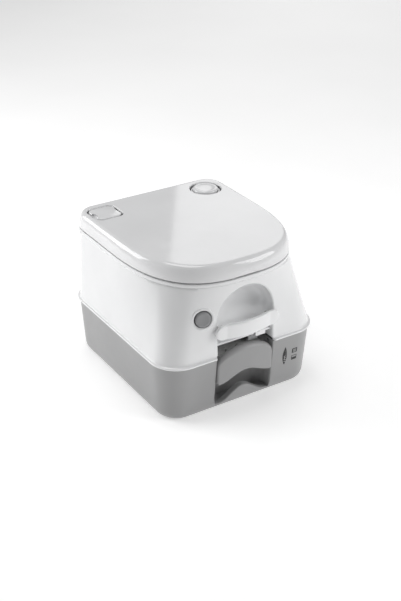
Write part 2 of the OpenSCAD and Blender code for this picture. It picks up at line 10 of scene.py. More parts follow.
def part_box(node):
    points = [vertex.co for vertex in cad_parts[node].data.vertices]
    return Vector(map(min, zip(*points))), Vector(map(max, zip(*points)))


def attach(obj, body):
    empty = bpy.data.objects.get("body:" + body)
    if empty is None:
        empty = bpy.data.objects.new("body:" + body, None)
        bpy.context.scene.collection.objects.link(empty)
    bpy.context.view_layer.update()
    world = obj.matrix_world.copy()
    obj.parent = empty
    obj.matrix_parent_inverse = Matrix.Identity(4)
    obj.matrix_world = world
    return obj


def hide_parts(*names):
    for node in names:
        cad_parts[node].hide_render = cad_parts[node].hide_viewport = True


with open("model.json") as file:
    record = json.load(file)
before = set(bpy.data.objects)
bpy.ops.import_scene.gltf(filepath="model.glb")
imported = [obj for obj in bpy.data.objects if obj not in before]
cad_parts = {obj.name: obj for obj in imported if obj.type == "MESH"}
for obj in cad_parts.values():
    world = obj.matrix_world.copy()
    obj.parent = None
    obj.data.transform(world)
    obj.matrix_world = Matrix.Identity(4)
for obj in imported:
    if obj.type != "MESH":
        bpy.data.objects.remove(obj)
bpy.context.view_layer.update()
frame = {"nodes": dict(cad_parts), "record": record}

# Everything below is worked out in millimetres and written to the meshes in metres.
MM = 0.001


def box_mm(node):
    """Low and high corner of a CAD node, in millimetres."""
    low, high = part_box(node)
    return np.array(low) / MM, np.array(high) / MM


shell_low, shell_high = box_mm("upper_shell")
tub_high = box_mm("waste_tank")[1]
lid_low, lid_high = box_mm("lid")
knob_low, knob_high = box_mm("pump_knob")
cap_low, cap_high = box_mm("fill_cap")
handle_low, handle_high = box_mm("carry_handle")
pull_low, pull_high = box_mm("slide_handle")

seal_low, seal_high = box_mm("fill_cap_seal")
latch_low, latch_high = box_mm("release_latch")
pump_centre = (knob_low[:2] + knob_high[:2]) / 2
fill_centre = (seal_low[:2] + seal_high[:2]) / 2

FLANGE_W = shell_high[0] - shell_low[0]
FLANGE_D = shell_high[1] - shell_low[1]
FLANGE_R = 55.0
SEAM_Z = shell_low[2]
RIM_Z = shell_high[2]
BAND_Z = RIM_Z - 8.0
FLANGE_T = 4.0
TANK_INSET = 4.0
TUB_Z = tub_high[2]
LID_W = lid_high[0] - lid_low[0]
LID_BACK = 176.0
LID_MID = 29.0
LID_NOSE = 209.0
LID_R = 39.0
NOSE_POWER = 2.76
LID_Z = lid_high[2]
SKIRT_Z = lid_low[2]
WALL = 3.0

ARCH_R = 59.0
ARCH_Z = 184.0
BAY_BACK = -146.0
NOTCH_BACK = -140.0
NOTCH_HALF = 61.0
SILL_Z = 10.0
SILL_RISE = 25.0
SILL_HALF = 54.0
BOWL_Y = -34.0
CAP_W = 52.0
CAP_D = 50.0
HINGE_Y = 183.0
HINGE_Z = 272.0
KNUCKLE_R = 6.0
SEAT_LUG = 36.0     # inner end of the seat's hinge barrels
LID_LUG = 63.0      # inner end of the lid's hinge knuckles
LUG_W = 10.0
SILL_BACK = -164.0
LATCH_X0, LATCH_X1 = latch_low[0], latch_high[0]
SPOUT_BAY = (6.0, 144.0, 124.0, 50.0)   # left, right, front and floor of the rear bay
BUTTON_TURN = math.radians(17.0)
BUTTON_TILT = math.radians(6.4)
BUTTON_AT = np.array([-86.5, -172.0, 197.0])


# ---------------------------------------------------------------- outlines

def rounded_outline(width, depth, radius, steps=48):
    points = []
    for quarter, (sx, sy) in enumerate(((1, 1), (-1, 1), (-1, -1), (1, -1))):
        for k in range(steps + 1):
            a = math.radians(90 * quarter + 90 * k / steps)
            points.append((sx * (width / 2 - radius) + radius * math.cos(a),
                           sy * (depth / 2 - radius) + radius * math.sin(a)))
    return np.array(points)


def signed_pow(v, p):
    return np.sign(v) * np.abs(v) ** p


def lid_outline(inset, steps=48):
    a, r = LID_W / 2 - inset, LID_R - inset
    back, nose = LID_BACK - inset, LID_NOSE - inset
    points = []
    for quarter, sx in enumerate((1, -1)):
        for k in range(steps + 1):
            t = math.radians(90 * quarter + 90 * k / steps)
            points.append((sx * (a - r) + r * math.cos(t), back - r + r * math.sin(t)))
    t = np.linspace(math.pi, 2 * math.pi, 4 * steps + 1)
    front = np.stack([a * signed_pow(np.cos(t), 2 / NOSE_POWER),
                      LID_MID + nose * signed_pow(np.sin(t), 2 / NOSE_POWER)], 1)
    return np.concatenate([np.array(points), front])


def polar(outline):
    """Angle from the front (-Y) towards +X, and distance from the axis, in rising order."""
    dense = []
    for a, b in zip(outline, np.roll(outline, -1, 0)):
        pieces = max(2, int(np.hypot(*(b - a)) / 1.5))
        for k in range(pieces):
            dense.append(a + (b - a) * k / pieces)
    dense = np.array(dense)
    angle = np.arctan2(dense[:, 0], -dense[:, 1])
    order = np.argsort(angle)
    return angle[order], np.hypot(dense[order, 0], dense[order, 1])


class Radius:
    """Distance of an outline from the axis, as a function of angle."""

    def __init__(self, outline):
        self.angle, self.dist = polar(outline)

    def __call__(self, angle):
        wrapped = (np.asarray(angle) + math.pi) % (2 * math.pi) - math.pi
        return np.interp(wrapped, self.angle, self.dist, period=2 * math.pi)


def tank_radius_at(inset):
    return Radius(rounded_outline(FLANGE_W - 2 * inset, FLANGE_D - 2 * inset, FLANGE_R - inset))


shell_foot = tank_radius_at(TANK_INSET)
shell_top = Radius(lid_outline(0.9))


def shell_radius(angle, z):
    t = np.clip((z - SEAM_Z - FLANGE_T) / (BAND_Z - SEAM_Z - FLANGE_T), 0, 1)
    return shell_foot(angle) * (1 - t) + shell_top(angle) * t


# Insets of the tank wall from the flange, by height: a rounded foot, then a slight taper
TANK_LEVELS = ((0.0, 22.0), (1.0, 19.0), (4.0, 15.4), (8.0, 12.8), (14.0, 11.1), (TUB_Z, 4.1))
tank_rings = [(z, tank_radius_at(inset)) for z, inset in TANK_LEVELS]


def tank_radius(angle, z):
    rings = np.stack([ring(angle) for _, ring in tank_rings])
    heights = np.array([level for level, _ in tank_rings])
    z = np.broadcast_to(z, rings.shape[1:])
    k = np.clip(np.searchsorted(heights, z, side="right") - 1, 0, len(heights) - 2)
    t = np.clip((z - heights[k]) / (heights[k + 1] - heights[k]), 0, 1)
    low = np.take_along_axis(rings, k[None], 0)[0]
    high = np.take_along_axis(rings, (k + 1)[None], 0)[0]
    return low * (1 - t) + high * t


def angle_of(x, z, radius, rear=False):
    """Angle at which a wall has this x at this height, on its front or its rear."""
    low = np.full_like(x, -1.35)
    high = np.full_like(x, 1.35)
    for _ in range(44):
        mid = (low + high) / 2
        at = math.pi - mid if rear else mid
        less = radius(at, z) * np.sin(at) < x
        low = np.where(less, mid, low)
        high = np.where(less, high, mid)
    return math.pi - low if rear else low


def on_wall(angle, z, radius):
    r = radius(angle, z)
    return np.stack([r * np.sin(angle), -r * np.cos(angle), np.broadcast_to(z, r.shape)], -1)


# ---------------------------------------------------------------- mesh building

class Builder:
    """Collects grids of vertices and writes them as one mesh."""

    def __init__(self):
        self.verts, self.faces = [], []

    def grid(self, rows, closed=False, flip=False):
        rows = np.asarray(rows, float)
        base = len(self.verts)
        n_rows, n_cols = rows.shape[:2]
        self.verts.extend(map(tuple, rows.reshape(-1, 3)))
        for i in range(n_rows - 1):
            for j in range(n_cols if closed else n_cols - 1):
                k = (j + 1) % n_cols
                quad = (base + i * n_cols + j, base + i * n_cols + k,
                        base + (i + 1) * n_cols + k, base + (i + 1) * n_cols + j)
                self.faces.append(quad[::-1] if flip else quad)

    def polygon(self, points, flip=False):
        base = len(self.verts)
        self.verts.extend(map(tuple, np.asarray(points, float)))
        ids = list(range(base, len(self.verts)))
        self.faces.append(ids[::-1] if flip else ids)

    def fan(self, centre, ring, flip=False):
        base = len(self.verts)
        self.verts.append(tuple(centre))
        self.verts.extend(map(tuple, ring))
        n = len(ring)
        for j in range(n):
            tri = (base, base + 1 + j, base + 1 + (j + 1) % n)
            self.faces.append(tri[::-1] if flip else tri)

    def make(self, name, merge=0.02, smooth_angle=38):
        mesh = bpy.data.meshes.new(name)
        mesh.from_pydata([tuple(c * MM for c in v) for v in self.verts], [], self.faces)
        bm = bmesh.new()
        bm.from_mesh(mesh)
        bmesh.ops.remove_doubles(bm, verts=bm.verts, dist=merge * MM)
        bmesh.ops.dissolve_degenerate(bm, edges=bm.edges, dist=merge * MM / 4)
        bmesh.ops.recalc_face_normals(bm, faces=bm.faces)
        bm.to_mesh(mesh)
        bm.free()
        piece = bpy.data.objects.new(name, mesh)
        bpy.context.scene.collection.objects.link(piece)
        shade(piece, smooth_angle)
        return piece


def shade(piece, angle=38):
    mesh = piece.data
    mesh.polygons.foreach_set("use_smooth", [True] * len(mesh.polygons))
    mesh.set_sharp_from_angle(angle=math.radians(angle))


def apply_modifiers(piece):
    graph = bpy.context.evaluated_depsgraph_get()
    mesh = bpy.data.meshes.new_from_object(piece.evaluated_get(graph))
    piece.modifiers.clear()
    piece.data = mesh
    return piece


def cut(piece, cutter):
    """Takes the cutter out of the piece and removes the cutter."""
    mod = piece.modifiers.new("cut", "BOOLEAN")
    mod.operation = "DIFFERENCE"
    mod.solver = "EXACT"
    mod.object = cutter
    apply_modifiers(piece)
    bpy.data.objects.remove(cutter)


def smooth_round(values, sigma):
    """Smooths a closed run of angles that goes once round."""
    n = len(values)
    turn = np.concatenate([values - 2 * math.pi, values, values + 2 * math.pi])
    reach = int(4 * sigma)
    kernel = np.exp(-0.5 * (np.arange(-reach, reach + 1) / sigma) ** 2)
    kernel /= kernel.sum()
    return np.convolve(turn, kernel, "same")[n:2 * n]


def wall_rows(angle, start_z, end_z, radius, steps, sigma):
    """Rows of a wall from its detouring start edge to its level end edge."""
    end_angle = smooth_round(angle, sigma)
    rows = []
    for v in steps:
        a = angle * (1 - v) + end_angle * v
        z = start_z * (1 - v) + end_z * v
        rows.append(on_wall(a, z, radius))
    return rows


class Detour:
    """Part of a wall's edge that runs round an opening, drawn in x and z.

    points is the visible edge, in order of rising angle. The opening lies above the edge of a
    wall that starts at its top, and with over=True below that of one that starts at its foot."""

    def __init__(self, points, radius, fillet, rear=False, over=False):
        points = np.asarray(points, float)
        step = np.gradient(points, axis=0)
        step /= np.linalg.norm(step, axis=1)[:, None]
        self.normal = np.stack([-step[:, 1], step[:, 0]], 1)
        if rear or over:
            self.normal = -self.normal
        self.points, self.fillet, self.rear = points, fillet, rear
        self.back = points - self.normal * fillet
        self.angle = angle_of(self.back[:, 0], self.back[:, 1], radius, rear)
        self.start = on_wall(self.angle, self.back[:, 1], radius)

    def fillet_rows(self, steps=5):
        inward = -1.0 if self.rear else 1.0
        rows = []
        for k in range(steps + 1):
            a = math.pi / 2 * k / steps
            shift = self.normal * self.fillet * math.sin(a)
            rows.append(self.start + np.stack(
                [shift[:, 0], np.full(len(shift), inward * self.fillet * (1 - math.cos(a))),
                 shift[:, 1]], 1))
        return rows


def strap(name, stations, corner, low_corner=None, around=10):
    """A bar along X. Each station is x, centre y, centre z, half depth and half height."""
    b = Builder()
    rows = []
    for x, cy, cz, hy, hz in stations:
        ring = []
        for quarter, (sy, sz) in enumerate(((1, 1), (-1, 1), (-1, -1), (1, -1))):
            r = corner if sz > 0 or low_corner is None else low_corner
            r = max(min(r, hy * 0.98, hz * 0.98), 0.01)
            for k in range(around + 1):
                a = math.radians(90 * quarter + 90 * k / around)
                ring.append((x, cy + sy * (hy - r) + r * math.cos(a),
                             cz + sz * (hz - r) + r * math.sin(a)))
        rows.append(ring)
    b.grid(rows, closed=True)
    b.polygon(rows[0])
    b.polygon(rows[-1], flip=True)
    return b.make(name)


def lathe(profile, steps=96):
    """Rows of a surface of revolution about Z, from pairs of radius and height."""
    a = np.linspace(0, 2 * math.pi, steps, endpoint=False)
    return [np.stack([r * np.cos(a), r * np.sin(a), np.full(steps, float(z))], 1) for r, z in profile]


def lathe_solid(name, profile, centre=(0, 0), steps=96, smooth_angle=38):
    """A closed piece made from a surface of revolution about Z."""
    b = Builder()
    rows = np.array(lathe(profile, steps)) + np.array([centre[0], centre[1], 0.0])
    b.grid(rows, closed=True)
    b.polygon(rows[0])
    b.polygon(rows[-1], flip=True)
    return b.make(name, smooth_angle=smooth_angle)


def prism(name, outline, axis, low, high):
    """A closed prism of an outline, along axis x, y or z."""
    place = {"x": lambda p, h: (h, p[0], p[1]), "y": lambda p, h: (p[0], h, p[1]),
             "z": lambda p, h: (p[0], p[1], h)}[axis]
    b = Builder()
    rows = [[place(p, h) for p in outline] for h in (low, high)]
    b.grid(rows, closed=True)
    b.polygon(rows[0])
    b.polygon(rows[1], flip=True)
    return b.make(name)


def ring_rows(angle, outline_at, profile):
    """Closed rows round an outline, from pairs of inset and height."""
    rows = []
    for inset, z in profile:
        rows.append(on_wall(angle, z, lambda a, _z, f=outline_at(inset): f(a)))
    return rows


# ---------------------------------------------------------------- flush section

FILLET = 3.0
WALL_START = SEAM_Z + 6.0
SCOOP_Y = -172.0
SCOOP_Z = 139.0
SCOOP_DEPTH = 31.0
SCOOP_POWER = 3.0


def arch_path():
    """Edge of the front opening, from its lower left corner over the arch to the lower right."""
    half = ARCH_R + 0.5
    up = [(-half, z) for z in np.linspace(WALL_START, ARCH_Z, 18, endpoint=False)]
    arc = [(-half * math.cos(a), ARCH_Z + half * math.sin(a)) for a in np.linspace(0, math.pi, 56)]
    down = [(half, z) for z in np.linspace(ARCH_Z, WALL_START, 19)[1:]]
    return up + arc + down


def make_body():
    """Tapering wall of the flush section, with its top band, seam flange and front opening."""
    b = Builder()
    opening = Detour(arch_path(), shell_radius, FILLET, over=True)
    edge = opening.angle[-1]
    plain = np.linspace(edge, 2 * math.pi - edge, 260)[1:-1]
    angle = np.concatenate([opening.angle, plain])
    start_z = np.concatenate([opening.back[:, 1], np.full(len(plain), WALL_START)])
    rows = wall_rows(angle, start_z, BAND_Z, shell_radius, np.linspace(0, 1, 34), sigma=13)
    b.grid(rows, closed=True)

    top_angle = smooth_round(angle, 13)
    band = ((0.9, BAND_Z), (1.3, BAND_Z + 0.25), (1.75, BAND_Z + 0.7), (1.75, BAND_Z + 1.2),
            (1.2, BAND_Z + 1.6), (0.4, BAND_Z + 1.9), (0.1, BAND_Z + 2.3), (0.05, BAND_Z + 3.0),
            (0.05, RIM_Z - 1.2), (0.35, RIM_Z - 0.4), (1.1, RIM_Z - 0.02), (WALL, RIM_Z - 0.02),
            (WALL, BAND_Z))
    b.grid(ring_rows(top_angle, lambda inset: Radius(lid_outline(inset)), band), closed=True)

    # Seam flange round everything but the front opening
    around = np.concatenate([[edge], plain, [2 * math.pi - edge]])
    lip = ((0.35, 5.2), (1.1, 4.45), (2.2, 4.05), (3.3, 3.9), (3.85, 3.5), (4.0, 2.8), (4.0, 1.0),
           (3.75, 0.35), (3.1, 0.05), (-WALL, 0.02), (-WALL, 6.0))
    flange = [on_wall(around, WALL_START, shell_radius)]
    for out, z in lip:
        ring = tank_radius_at(TANK_INSET - out)
        flange.append(on_wall(around, SEAM_Z + z, lambda a, _z, f=ring: f(a)))
    flange = np.array(flange)
    b.grid(flange)
    b.polygon(flange[:, 0])
    b.polygon(flange[:, -1], flip=True)

    # Edge of the opening: a rounded lip, then the cheeks of the handle bay
    rows = opening.fillet_rows()
    z = opening.points[:, 1]
    deep = np.clip((z - 136.0) / 14.0, 0, 1)
    target = BAY_BACK * (1 - deep) + SCOOP_Y * deep
    last = rows[-1]
    for t in np.linspace(0, 1, 7)[1:]:
        row = last.copy()
        row[:, 1] = last[:, 1] * (1 - t) + target * t
        rows.append(row)
    b.grid(rows)
    return open_for_button(b.make("body_shell", smooth_angle=50))


def button_frame():
    """Right, up and outward directions of the flush button."""
    out = np.array([-math.sin(BUTTON_TURN) * math.cos(BUTTON_TILT),
                    -math.cos(BUTTON_TURN) * math.cos(BUTTON_TILT), math.sin(BUTTON_TILT)])
    right = np.cross([0, 0, 1.0], out)
    right /= np.linalg.norm(right)
    return np.array([right, np.cross(out, right), out])


def at_button(points):
    """Points drawn about the flush button, its axis along Z, put on the body."""
    return BUTTON_AT + np.asarray(points, float) @ button_frame()


def open_for_button(body, radius=19.4):
    """Takes out the wall behind the button's rim and draws the edge onto a circle."""
    turn = button_frame()
    bm = bmesh.new()
    bm.from_mesh(body.data)

    def local(co):
        return turn @ (np.array(co) / MM - BUTTON_AT)

    inside = []
    for face in bm.faces:
        p = local(face.calc_center_median())
        if math.hypot(p[0], p[1]) < radius and abs(p[2]) < 12:
            inside.append(face)
    bmesh.ops.delete(bm, geom=inside, context="FACES")
    for vert in bm.verts:
        p = local(vert.co)
        flat = math.hypot(p[0], p[1])
        if vert.is_boundary and flat < radius * 1.4 and abs(p[2]) < 12:
            p[:2] *= radius / flat
            vert.co = [c * MM for c in BUTTON_AT + p @ turn]
    bm.to_mesh(body.data)
    bm.free()
    return body


def make_scoop():
    """Finger recess behind the carry handle, with its lower lip and the bay under it."""
    b = Builder()
    half = ARCH_R + 0.5
    loop = [p for p in arch_path() if p[1] >= SCOOP_Z]
    loop = [(-half, SCOOP_Z)] + loop + [(half, SCOOP_Z)]
    loop += [(x, SCOOP_Z) for x in np.linspace(half, -half, 40)[1:-1]]
    loop = np.array(loop)
    centre = np.array([0.0, 186.0])
    rings = []
    for k in np.cos(np.linspace(0, math.pi / 2, 22)[:-1]) ** 0.8:
        flat = centre + (loop - centre) * k
        y = SCOOP_Y + SCOOP_DEPTH * (1 - k ** SCOOP_POWER) ** (1 / SCOOP_POWER)
        rings.append(np.stack([flat[:, 0], np.full(len(flat), y), flat[:, 1]], 1))
    b.grid(rings, closed=True)
    b.fan((centre[0], SCOOP_Y + SCOOP_DEPTH, centre[1]), rings[-1])
    lip = [(SCOOP_Y + 2, SCOOP_Z + 0.6), (SCOOP_Y, SCOOP_Z), (SCOOP_Y - 2.2, SCOOP_Z - 1.2),
           (SCOOP_Y - 2.6, SCOOP_Z - 3.4), (SCOOP_Y - 1.0, SCOOP_Z - 5.0), (SCOOP_Y + 3, SCOOP_Z - 4.6),
           (BAY_BACK, SCOOP_Z + 11), (BAY_BACK, SEAM_Z + 1.2)]
    for x0, x1 in ((-half, LATCH_X0 - 1.5), (LATCH_X1 + 1.5, half)):
        b.grid([[(x, y, z) for y, z in lip] for x in (x0, x1)])
    back = lip[-3:]
    b.grid([[(x, y, z) for y, z in back[1:]] for x in (LATCH_X0 - 1.5, LATCH_X1 + 1.5)])
    return b.make("hand_recess", smooth_angle=55)


def make_deck():
    """Top of the flush section round the bowl, with holes for the pump and the filler."""
    b = Builder()
    rim = lid_outline(2.8, 24)
    b.grid([[(x, y, z) for x, y in rim] for z in (RIM_Z - 2.6, RIM_Z - 0.05)], closed=True)
    b.polygon([(x, y, RIM_Z - 2.6) for x, y in rim])
    b.polygon([(x, y, RIM_Z - 0.05) for x, y in rim], flip=True)
    deck = b.make("body_deck")
    bowl_low, bowl_high = box_mm("bowl")
    half_w = (bowl_high[0] - bowl_low[0]) / 2 - 5.0
    half_d = (bowl_high[1] - bowl_low[1]) / 2 - 5.0
    a = np.linspace(0, 2 * math.pi, 96, endpoint=False)
    oval = np.stack([half_w * np.cos(a), BOWL_Y + half_d * np.sin(a)], 1)
    cut(deck, prism("bowl_cut", oval, "z", RIM_Z - 10, RIM_Z + 10))
    for centre, r in ((pump_centre, 28.8), (fill_centre, 24.3)):
        hole = np.stack([centre[0] + r * np.cos(a), centre[1] + r * np.sin(a)], 1)
        cut(deck, prism("hole_cut", hole, "z", RIM_Z - 10, RIM_Z + 10))
    shade(deck, 30)
    return deck


def notch_path():
    """Edge of the front notch in the tank: down, along the humped sill and up again."""
    half = NOTCH_HALF
    down = [(-half, z) for z in np.linspace(TUB_Z, SILL_Z + 2, 22)]
    xs = np.linspace(-half + 1.5, half - 1.5, 60)
    rise = np.where(np.abs(xs) < SILL_HALF, 0.5 + 0.5 * np.cos(math.pi * xs / SILL_HALF), 0)
    sill = [(x, SILL_Z + SILL_RISE * r) for x, r in zip(xs, rise)]
    up = [(half, z) for z in np.linspace(SILL_Z + 2, TUB_Z, 22)]
    return down + sill + up


def bay_path():
    """Edge of the spout bay in the tank's rear: down, along its floor and up again."""
    left, right, _, floor = SPOUT_BAY
    down = [(right, z) for z in np.linspace(TUB_Z, floor + 2, 14)]
    along = [(x, floor) for x in np.linspace(right - 2, left + 2, 36)]
    up = [(left, z) for z in np.linspace(floor + 2, TUB_Z, 14)]
    return down + along + up


def make_tank():
    """Waste tank: rounded foot, front notch with its sill, and the rear bay for the spout."""
    b = Builder()
    fillet = 2.5
    notch = Detour(notch_path(), tank_radius, fillet)
    bay = Detour(bay_path(), tank_radius, fillet, rear=True)
    right = np.linspace(notch.angle[-1], bay.angle[0], 92)[1:-1]
    left = np.linspace(bay.angle[-1], 2 * math.pi + notch.angle[0], 110)[1:-1]
    angle = np.concatenate([notch.angle, right, bay.angle, left])
    top = [np.full(len(side), TUB_Z) for side in (right, left)]
    start_z = np.concatenate([notch.back[:, 1], top[0], bay.back[:, 1], top[1]])
    steps = 1 - (1 - np.linspace(0, 1, 44)) ** 1.6
    rows = wall_rows(angle, start_z, 0.0, tank_radius, steps, sigma=12)
    b.grid(rows, closed=True)
    b.fan((0, 0, 0), rows[-1])

    # Sides and sill of the notch, then its rounded back and its floor
    rows = notch.fillet_rows()
    b.grid(rows)
    inner = rows[-1]
    deep = inner.copy()
    deep[:, 1] = SILL_BACK
    b.grid([inner, (inner + deep) / 2, deep])
    floor_z = SILL_Z - 3.0
    on_sill = np.abs(notch.points[:, 0]) < NOTCH_HALF - 1
    sill = deep[on_sill]
    low = sill.copy()
    low[:, 2] = floor_z
    mid = (sill + low) / 2 + np.array([0, 2.5, -2.0])
    low = low + np.array([0, 9.0, 0])
    b.grid([sill, mid, low])
    r = 20.0
    half = NOTCH_HALF
    plan = [(-half, SILL_BACK)]
    plan += [(-half + r - r * math.cos(a), NOTCH_BACK - r + r * math.sin(a))
             for a in np.linspace(0, math.pi / 2, 10)]
    plan += [(half - r + r * math.sin(a), NOTCH_BACK - r + r * math.cos(a))
             for a in np.linspace(0, math.pi / 2, 10)]
    plan += [(half, SILL_BACK)]
    b.grid([[(x, y, z) for x, y in plan] for z in (floor_z, TUB_Z)])
    b.polygon([(x, y, floor_z) for x, y in plan])

    # Bay for the spout
    x0, x1, y0, z0 = SPOUT_BAY
    rows = bay.fillet_rows()
    inner = rows[-1]
    deep = inner.copy()
    deep[:, 1] = y0
    b.grid(rows + [inner * 0.5 + deep * 0.5, deep])
    b.polygon([(x0, y0, z0), (x1, y0, z0), (x1, y0, TUB_Z), (x0, y0, TUB_Z)])
    return b.make("tank_shell", smooth_angle=46)


def make_lid():
    """Lid with a drafted skirt and wide shoulder, holes for pump and filler, and a lift recess."""
    b = Builder()
    angle = np.linspace(-math.pi, math.pi, 360, endpoint=False)
    outer = ((0.6, SKIRT_Z), (0.1, SKIRT_Z + 0.5), (0, SKIRT_Z + 1.2), (0.5, SKIRT_Z + 4.5),
             (1.6, LID_Z - 18), (3.1, LID_Z - 12), (4.4, LID_Z - 8), (5.7, LID_Z - 5.2), (7.3, LID_Z - 3.2),
             (9.2, LID_Z - 1.7), (11.2, LID_Z - 0.75), (13.2, LID_Z - 0.25), (15.5, LID_Z - 0.02))
    inner = ((18.0, LID_Z - WALL), (11.0, LID_Z - WALL - 1.2), (7.6, LID_Z - 8.5), (5.2, LID_Z - 16),
             (WALL + 0.2, SKIRT_Z + 0.4), (WALL, SKIRT_Z), (0.6, SKIRT_Z))
    at = lambda inset: Radius(lid_outline(inset))
    b.grid(ring_rows(angle, at, inner + outer[1:]), closed=True)
    b.polygon(ring_rows(angle, at, inner[:1])[0])
    b.polygon(ring_rows(angle, at, outer[-1:])[0], flip=True)
    lid = b.make("lid_cover", smooth_angle=32)

    # Holes for the pump and the filler, each with a rounded rim
    r = (knob_high[0] - knob_low[0]) / 2 + 6.0
    rim = ((0, -14), (0, -2.6), (0.35, -1.3), (1.0, -0.5), (2.0, -0.02), (2.0, 6))
    cut(lid, lathe_solid("pump_cut", [(r + out, LID_Z + z) for out, z in rim], pump_centre))
    cap = np.array([cap_high[0] - cap_low[0], cap_high[1] - cap_low[1]])
    c = Builder()
    rows = []
    for out, z in rim:
        ring = rounded_outline(CAP_W + 6 + 2 * out, cap[1] + 6 + 2 * out, 14 + out, 10) + fill_centre
        rows.append([(x, y, LID_Z + z) for x, y in ring])
    c.grid(rows, closed=True)
    c.polygon(rows[0])
    c.polygon(rows[-1], flip=True)
    cut(lid, c.make("cap_cut"))
    hinge = 62.0
    cut(lid, prism("hinge_cut", [(-hinge, SKIRT_Z - 5), (hinge, SKIRT_Z - 5), (hinge, 280), (-hinge, 280)],
                   "y", LID_BACK - 6, LID_BACK + 10))
    xs = np.linspace(-36, 36, 33)
    brow = [(36, SKIRT_Z - 3), (-36, SKIRT_Z - 3)]
    brow += [(x, SKIRT_Z + 3.2 + 4.6 * math.cos(math.pi * x / 36)) for x in xs]
    cut(lid, prism("lift_cut", brow, "y", -200, -LID_NOSE + LID_MID + 1.7))
    shade(lid, 32)
    mod = lid.modifiers.new("weights", "WEIGHTED_NORMAL")
    mod.keep_sharp = True
    apply_modifiers(lid)
    return lid


def make_hinge_knuckles():
    """The lid's two hinge knuckles, behind its skirt."""
    b = Builder()
    for side in (-1, 1):
        ring = [(HINGE_Y + KNUCKLE_R * math.cos(a), HINGE_Z + KNUCKLE_R * math.sin(a))
                for a in np.linspace(-math.pi / 2, math.pi / 2, 20)]
        ring += [(LID_BACK - 1, HINGE_Z + KNUCKLE_R), (LID_BACK - 1, HINGE_Z - KNUCKLE_R)]
        rows = [[(side * x, y, z) for y, z in ring] for x in (LID_LUG, LID_LUG + LUG_W)]
        b.grid(rows, closed=True)
        b.polygon(rows[0])
        b.polygon(rows[1], flip=True)
    return b.make("lid_knuckles")


def make_carry_handle():
    """A strap that lies flat on its round end pads and bows outward between them."""
    face = handle_high[1]
    low, high = handle_low[2], handle_high[2]
    centre_z, half_h = (low + high) / 2, (high - low) / 2
    pad_x = handle_high[0] - half_h
    pad, thick = 8.0, 9.0
    bow = face - pad - handle_low[1] - 0.2
    bend = pad_x - 7
    xs = np.concatenate([
        -pad_x - half_h * np.cos(np.linspace(0, math.pi / 2, 14)),
        np.linspace(-pad_x, pad_x, 64)[1:-1],
        pad_x + half_h * np.sin(np.linspace(0, math.pi / 2, 14))])
    stations = []
    for x in xs:
        out = max(0.0, 1 - abs(x / bend) ** 2.2) * bow
        past = max(0.0, abs(x) - pad_x)
        h = math.sqrt(max(half_h ** 2 - past ** 2, 0.05))
        half_t = (pad + (thick - pad) * min(1.0, out / 3)) / 2
        dome = 1.6 * (past / half_h) ** 3
        front = face - pad - out + dome
        back = front - dome + 2 * half_t
        stations.append((x, (front + back) / 2, centre_z, (back - front) / 2, h))
    return strap("carry_handle_grip", stations, corner=3.4)


def pull_edges(x):
    """Lower and upper edge of the slide handle at x."""
    half = (pull_high[0] - pull_low[0]) / 2
    u = min(abs(x) / half, 1.0)
    side, top = 97.0, 123.0
    upper = side + (top - side) * math.sin(math.acos(u)) ** 1.15
    foot, arch = 55.5, 73.5
    lower = foot + (arch - foot) * (0.5 + 0.5 * math.cos(math.pi * min(abs(x) / 60, 1.0)))
    corner = max(0.0, u * half - (half - 4)) / 4
    return lower + 4 * (1 - math.sqrt(max(0.0, 1 - corner ** 2))), upper


def make_slide_handle():
    """Bridge-shaped grip of the slide valve, its face bowed out and its edges rounded."""
    half = (pull_high[0] - pull_low[0]) / 2
    back, front = -168.0, pull_low[1]
    xs = np.concatenate([-half + 0.4 * np.array([0, 1, 3, 6, 10]), np.linspace(-half + 6, half - 6, 70),
                         half - 0.4 * np.array([10, 6, 3, 1, 0])])
    stations = []
    for x in xs:
        low, high = pull_edges(x * 0.9985)
        edge = max(0.0, 1 - (half - abs(x)) / 3.2)
        shrink = 3.2 * (1 - math.sqrt(max(0.0, 1 - edge ** 2)))
        y_front = front + 3 * (x / NOTCH_HALF) ** 2 + shrink * 0.8
        stations.append((x, (back + y_front) / 2, (low + high) / 2,
                         (back - y_front) / 2, max((high - low) / 2 - shrink, 1.0)))
    return strap("slide_handle_grip", stations, corner=8.0, low_corner=2.4)


def make_button():
    """Flush button: a shallow dished disc with a rounded edge."""
    b = Builder()
    r = 14.3
    profile = [(r, -7), (r, 1.2), (r - 0.4, 2.2), (r - 1.3, 3.0), (r - 2.8, 3.4), (r - 4.4, 3.2),
               (6, 2.6), (0.5, 2.4)]
    rows = at_button(lathe(profile, 72))
    b.grid(rows, closed=True)
    b.polygon(rows[0])
    b.polygon(rows[-1], flip=True)
    return b.make("flush_button_cap", smooth_angle=50)


def make_button_ring():
    """White rounded rim of the button's hole, proud of the wall."""
    b = Builder()
    profile = [(22.4, -3), (21.8, 0), (20.6, 0.8), (19.2, 1.1), (17.7, 1.0), (16.7, 0.4),
               (16.2, -0.8), (16.1, -9)]
    b.grid(at_button(lathe(profile, 72)), closed=True)
    return b.make("button_rim", smooth_angle=60)


def make_button_well():
    """Gray cup behind the button, its mouth set back inside the rim."""
    b = Builder()
    profile = [(17.3, -5), (17.3, -18), (3.6, -18), (3.6, -15), (14.8, -15), (14.8, -5), (17.3, -5)]
    b.grid(at_button(lathe(profile, 72)), closed=True)
    return b.make("button_well")


